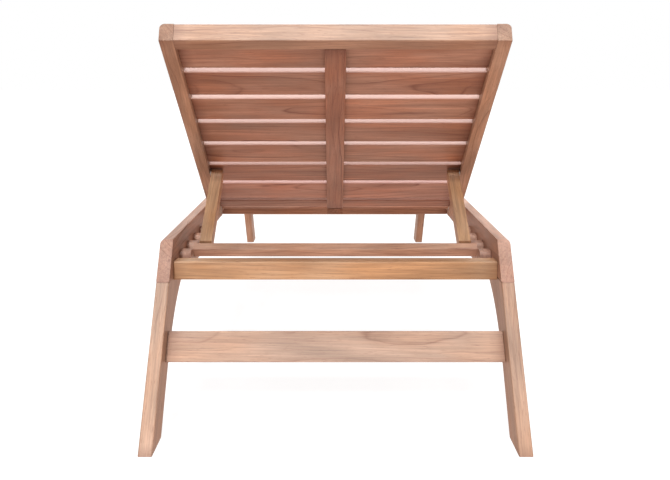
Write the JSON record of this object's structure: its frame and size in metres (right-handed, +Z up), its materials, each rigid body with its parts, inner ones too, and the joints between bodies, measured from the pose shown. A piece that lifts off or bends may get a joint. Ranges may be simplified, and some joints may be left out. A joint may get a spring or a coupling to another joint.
{
  "type": "reclining sun lounger",
  "caption": "Low teak sun lounger with raked legs, a fixed slatted seat deck and a hinged slatted backrest held by a prop frame in toothed racks.",
  "frame": {"origin": "on the floor, below the middle of the frame", "axes": "+Y towards the foot end, +X to the right seen from the head end, +Z up"},
  "size_m": [0.6, 2, 0.6479],
  "materials": {
    "teak_frame": "satin, sanded teak",
    "teak_slat": "satin, reddish teak",
    "teak_golden": "satin, golden teak",
    "steel": "satin stainless"
  },
  "bodies": {
    "frame": {"side_rail_left": "teak_frame", "seat_ledger_left": "teak_frame", "rack_left": "teak_frame", "side_rail_right": "teak_frame", "seat_ledger_right": "teak_frame", "rack_right": "teak_frame", "head_leg_left": "teak_frame", "head_leg_dowel_left": "teak_frame", "head_leg_right": "teak_frame", "head_leg_dowel_right": "teak_frame", "head_end_rail": "teak_golden", "head_stretcher": "teak_frame", "foot_leg_left": "teak_frame", "foot_leg_dowel_left": "teak_frame", "foot_leg_right": "teak_frame", "foot_leg_dowel_right": "teak_frame", "foot_end_rail": "teak_golden", "foot_stretcher": "teak_frame", "middle_cross_rail": "teak_frame", "seat_batten": "teak_slat", "seat_slat_01": "teak_slat", "seat_slat_02": "teak_slat", "seat_slat_03": "teak_slat", "seat_slat_04": "teak_slat", "seat_slat_05": "teak_slat", "seat_slat_06": "teak_slat", "seat_slat_07": "teak_slat", "seat_slat_08": "teak_slat", "seat_slat_09": "teak_slat", "seat_slat_10": "teak_slat", "seat_slat_11": "teak_slat", "hinge_bolt_left": "steel", "hinge_spacer_left": "steel", "hinge_nut_left": "steel", "hinge_bolt_right": "steel", "hinge_spacer_right": "steel", "hinge_nut_right": "steel"},
    "backrest": {"back_stile_left": "teak_frame", "back_stile_right": "teak_frame", "back_top_rail": "teak_frame", "back_bottom_rail": "teak_slat", "back_batten": "teak_golden", "back_slat_1": "teak_slat", "back_slat_2": "teak_slat", "back_slat_3": "teak_slat", "back_slat_4": "teak_slat", "back_slat_5": "teak_slat", "back_slat_6": "teak_slat", "back_slat_7": "teak_slat", "prop_bolt_left": "steel", "prop_spacer_left": "steel", "prop_bolt_right": "steel", "prop_spacer_right": "steel"},
    "prop": {"prop_arm_left": "teak_golden", "prop_arm_right": "teak_golden", "prop_crossbar": "teak_golden"}
  },
  "joints": [
    {"name": "recline", "type": "hinge", "parent": "frame", "child": "backrest", "pos_m": [0, -0.258, 0.276], "axis": [-1, 0, 0], "range_deg": [-30.76, 33.74]},
    {"name": "prop_swing", "type": "hinge", "parent": "backrest", "child": "prop", "pos_m": [0, -0.44529, 0.37583], "axis": [1, 0, 0], "range_deg": [-57.5, 63.1]}
  ],
  "couplings": [
    {"joint": "prop_swing", "follows": "recline", "ratio": 1.868}
  ]
}
